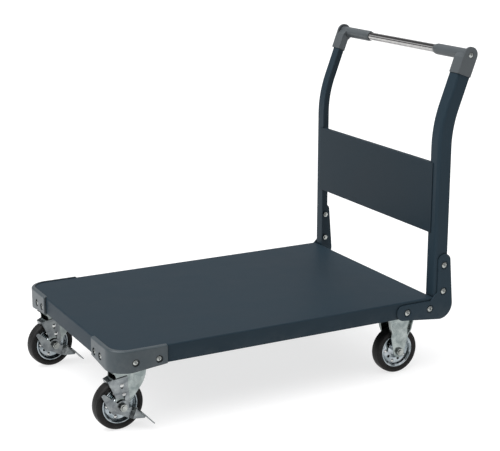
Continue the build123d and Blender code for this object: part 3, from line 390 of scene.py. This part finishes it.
# The deck, frame, panel and bracket share one slate paint, scaled darker or lighter per part to stand in
# for the light and shade each gets: painted shade and painted light. The panel's copy is the darkest.
FINISHES = {
    "deck_paint": stoved_paint("slate deck paint", tinted(SLATE, 0.92), roughness=0.45),
    "frame_paint": stoved_paint("slate frame paint", SLATE, roughness=0.4, wear=0.35),
    "panel_paint": stoved_paint("slate paint, shaded copy for the panel", tinted(SLATE, 0.8)),
    "bracket_paint": stoved_paint("slate bracket paint", tinted(SLATE, 1.05), roughness=0.36, wear=0.4),
    "bumper_plastic": moulded_plastic("grey bumper plastic", (0.044, 0.058, 0.066), roughness=0.34),
    "joint_plastic": moulded_plastic("grey handle joint plastic", (0.066, 0.076, 0.082), roughness=0.38),
    "plug_plastic": moulded_plastic("dark plug plastic", (0.05, 0.05, 0.05)),
    "grip_chrome": chromed_tube("bright grip chrome"),
    "tyre_rubber": tread_rubber("black tyre rubber"),
    "disc_zinc": plated_steel(
        "bright wheel disc zinc", (0.48, 0.53, 0.56), (0.16, 0.2, 0.22), roughness=0.16, lines=0.2,
    ),
    "hub_steel": plated_steel(
        "turned hub steel", (0.45, 0.46, 0.46), (0.25, 0.26, 0.26), roughness=0.28, waves=0.2,
    ),
    "rivet_steel": plated_steel(
        "rivet zinc", (0.75, 0.76, 0.75), (0.45, 0.46, 0.46), roughness=0.2,
    ),
    "caster_zinc": plated_steel(
        "caster fork zinc", (0.36, 0.4, 0.39), (0.17, 0.205, 0.205), roughness=0.2,
    ),
    "brake_zinc": plated_steel(
        "brake lever zinc", (0.29, 0.315, 0.32), (0.12, 0.135, 0.147), roughness=0.18, lines=0.6,
    ),
    "pin_steel": plated_steel(
        "kingpin zinc", (0.6, 0.6, 0.58), (0.42, 0.42, 0.4), roughness=0.36,
    ),
    "ball_steel": plated_steel(
        "greased ball steel", (0.6, 0.58, 0.52), (0.4, 0.36, 0.3), roughness=0.24, waves=0.1,
    ),
    "fastener_zinc": plated_steel(
        "fastener zinc", (0.5, 0.52, 0.5), (0.26, 0.28, 0.27), roughness=0.2, lines=0.1, waves=0.5,
    ),
}


def dress_cad_nodes():
    """Give every CAD piece the finish that the record names for it."""
    for entry in frame["record"]["subparts"]:
        node = nodes[entry["node"]]
        node.data.materials.clear()
        node.data.materials.append(FINISHES[entry["material_slot"]])


dress_cad_nodes()


# ---------------------------------------------------------------- welds and tyre ribs
REST_SWIVEL = {"left": 3.5, "right": 8.2}           # degrees that each front caster stands turned
TYRE_RIBS = ((0.0530, 0.0160), (0.0585, 0.0150))    # radius, distance from the wheel's middle plane
RIB_RADIUS = 0.0007                                 # of the rib's own round section
RIB_STEPS = 96
RIB_CORNERS = 8
FORK_HALF = 0.0235                                  # wheel's middle plane to the weld along a fork leg
FORK_PLATE = 0.004                                  # thickness of a mounting plate
FORK_WELD_REACH = 0.033                             # half the length of a fork weld
BEAD_RADIUS = 0.0018
BEAD_CORNERS = 12
BEAD_STEP = 0.0004                                  # between the rings that shape a bead
BEAD_RIPPLE = 0.16                                  # share of the bead's radius
RIPPLE_PITCH = 0.0028
PANEL_STITCH = 0.028                                # length of one weld
STITCH_HEIGHTS = (0.15, 0.5, 0.85)                  # shares of the panel's height


def middle(node):
    """Centre of a CAD node's box."""
    low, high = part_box(node)
    return (low + high) / 2


def piece(name, points, faces, slot, body):
    """New smooth piece with the finish of a record slot, riding on a body."""
    mesh = bpy.data.meshes.new(name)
    mesh.from_pydata(points, [], faces)
    mesh.polygons.foreach_set("use_smooth", [True] * len(mesh.polygons))
    mesh.materials.append(FINISHES[slot])
    made = bpy.data.objects.new(name, mesh)
    scene.collection.objects.link(made)
    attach(made, body)


def skin(rings, closed):
    """Points and quads over a row of equal rings; open rows get end caps."""
    size = len(rings[0])
    faces = []
    for row in range(len(rings) if closed else len(rings) - 1):
        for step in range(size):
            here = row * size
            there = (row + 1) % len(rings) * size
            following = (step + 1) % size
            faces.append((here + step, here + following, there + following, there + step))
    if not closed:
        faces.append(tuple(reversed(range(size))))
        faces.append(tuple(range((len(rings) - 1) * size, len(rings) * size)))
    return [point for ring in rings for point in ring], faces


def merged(parts):
    """One list of points and faces from several."""
    points = []
    faces = []
    for part_points, part_faces in parts:
        start = len(points)
        points += part_points
        faces += [tuple(index + start for index in face) for face in part_faces]
    return points, faces


def rib(centre, axis, radius):
    """Thin round rib that runs round a level axis."""
    upward = Vector((0, 0, 1))
    level = axis.cross(upward)
    rings = []
    for step in range(RIB_STEPS):
        around = 2 * pi * step / RIB_STEPS
        outward = level * cos(around) + upward * sin(around)
        ring = []
        for corner in range(RIB_CORNERS):
            turn = 2 * pi * corner / RIB_CORNERS
            out = radius + RIB_RADIUS * cos(turn)
            ring.append(centre + outward * out + axis * RIB_RADIUS * sin(turn))
        rings.append(ring)
    return skin(rings, closed=True)


def bead(start, end):
    """Weld bead between two points: overlapping ripples, tapered at both ends."""
    along = (end - start).normalized()
    across = along.orthogonal().normalized()
    other = along.cross(across)
    length = (end - start).length
    count = round(length / BEAD_STEP)
    rings = []
    for step in range(count + 1):
        travel = step / count
        taper = min(1.0, travel * 12 + 0.15, (1 - travel) * 12 + 0.15)
        ripple = 1 + BEAD_RIPPLE * sin(2 * pi * length * travel / RIPPLE_PITCH)
        radius = BEAD_RADIUS * taper * ripple
        centre = start + along * length * travel
        ring = []
        for corner in range(BEAD_CORNERS):
            turn = 2 * pi * corner / BEAD_CORNERS
            ring.append(centre + (across * cos(turn) + other * sin(turn)) * radius)
        rings.append(ring)
    return skin(rings, closed=False)


def add_tyre_ribs():
    """Two moulded ribs on each sidewall of every tyre."""
    for end in ("front", "rear"):
        for side in ("left", "right"):
            turn = radians(REST_SWIVEL[side]) if end == "front" else 0.0
            axis = Vector((sin(turn), -cos(turn), 0))
            centre = middle(f"tyre_{end}_{side}")
            ribs = []
            for radius, out in TYRE_RIBS:
                for face in (-1, 1):
                    ribs.append(rib(centre + axis * face * out, axis, radius))
            piece(f"tyre_ribs_{end}_{side}", *merged(ribs), "tyre_rubber", f"wheel_{end}_{side}")


def add_fork_welds():
    """Fillet welds between the legs of each rigid fork and its mounting plate."""
    under_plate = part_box("swivel_plate_left")[1].z - FORK_PLATE
    reach = Vector((FORK_WELD_REACH, 0, 0))
    for side in ("left", "right"):
        centre = middle(f"tyre_rear_{side}")
        beads = []
        for face in (-1, 1):
            corner = Vector((centre.x, centre.y + face * FORK_HALF, under_plate))
            beads.append(bead(corner - reach, corner + reach))
        piece(f"fork_weld_{side}", *merged(beads), "caster_zinc", "frame")


def add_panel_welds():
    """Three stitch welds down each side of the back panel, on its rear face."""
    low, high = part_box("back_panel")
    upright_low, upright_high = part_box("upright_left")
    half = Vector((0, 0, PANEL_STITCH / 2))
    beads = []
    for flange_edge in (upright_high.y, -upright_high.y):
        for share in STITCH_HEIGHTS:
            centre = Vector((upright_low.x, flange_edge, low.z + (high.z - low.z) * share))
            beads.append(bead(centre - half, centre + half))
    piece("panel_welds", *merged(beads), "frame_paint", "frame")


add_tyre_ribs()
add_fork_welds()
add_panel_welds()


# ---------------------------------------------------------------- studio
FLOOR_REACH = 40.0          # from the middle to each edge
SKY_BANDS = (       # height up the sky from 0 to 1, brightness
    (0.0, 0.04), (0.16, 0.05), (0.24, 0.75), (0.4, 0.85), (0.47, 0.12), (0.6, 0.12), (0.7, 1.1),
)
KEY_STRENGTH = 2.8
KEY_SPREAD = 60
KEY_TILT = 34               # from straight down
KEY_TURN = -84              # about the vertical
CAMERA_FROM_DECK = (-1.0398, -2.6348, 1.1032)       # from the low corner of the deck's box
CAMERA_YAW = 27.90
CAMERA_PITCH = 14.96
CAMERA_FOCAL = 2.594        # focal length over image width
SENSOR_WIDTH = 36.0         # millimetres


def studio_floor():
    """Wide pale floor."""
    mesh = bpy.data.meshes.new("floor")
    corners = [(x * FLOOR_REACH, y * FLOOR_REACH, 0) for x, y in ((-1, -1), (1, -1), (1, 1), (-1, 1))]
    mesh.from_pydata(corners, [], [(0, 1, 2, 3)])
    floor = bpy.data.objects.new("floor", mesh)
    scene.collection.objects.link(floor)
    white = Finish("pale floor")
    grain = white.group(GRAIN, grain_scale=40.0)
    white.feed("Base Color", white.mix(grain.outputs["Drift"], (0.34, 0.34, 0.34), (0.36, 0.36, 0.36)))
    white.set(Roughness=0.9, Specular_IOR_Level=0.1, Emission_Color=(1, 1, 1, 1), Emission_Strength=0.72)
    mesh.materials.append(white.material)


def studio_light():
    """Sky in bright and dark bands, brightest overhead, and one very soft key light."""
    world = bpy.data.worlds.new("studio")
    scene.world = world
    world.use_nodes = True
    tree = world.node_tree
    background = tree.nodes["Background"]
    coords = tree.nodes.new("ShaderNodeTexCoord")
    split = tree.nodes.new("ShaderNodeSeparateXYZ")
    ramp = tree.nodes.new("ShaderNodeValToRGB")
    tree.links.new(coords.outputs["Generated"], split.inputs["Vector"])
    tree.links.new(split.outputs["Z"], ramp.inputs["Fac"])
    ramp.color_ramp.elements.remove(ramp.color_ramp.elements[1])
    for place, level in SKY_BANDS:
        stop = ramp.color_ramp.elements.new(place) if place else ramp.color_ramp.elements[0]
        stop.color = (level, level, level * 1.02, 1)
    tree.links.new(ramp.outputs["Color"], background.inputs["Color"])
    background.inputs["Strength"].default_value = 1.0
    key = bpy.data.lights.new("key", "SUN")
    key.energy = KEY_STRENGTH
    key.angle = radians(KEY_SPREAD)
    lamp = bpy.data.objects.new("key", key)
    lamp.rotation_euler = (radians(KEY_TILT), 0, radians(KEY_TURN))
    scene.collection.objects.link(lamp)


def camera():
    """Camera at the product's usual three-quarter view, from the front left."""
    lens = bpy.data.cameras.new("camera")
    lens.sensor_width = SENSOR_WIDTH
    lens.lens = SENSOR_WIDTH * CAMERA_FOCAL
    lens.clip_end = 200.0
    eye = bpy.data.objects.new("camera", lens)
    eye.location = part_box("deck_tray")[0] + Vector(CAMERA_FROM_DECK)
    eye.rotation_euler = (radians(90 - CAMERA_PITCH), 0, radians(-CAMERA_YAW))
    scene.collection.objects.link(eye)
    scene.camera = eye


studio_floor()
studio_light()
camera()
scene.view_settings.view_transform = "Standard"
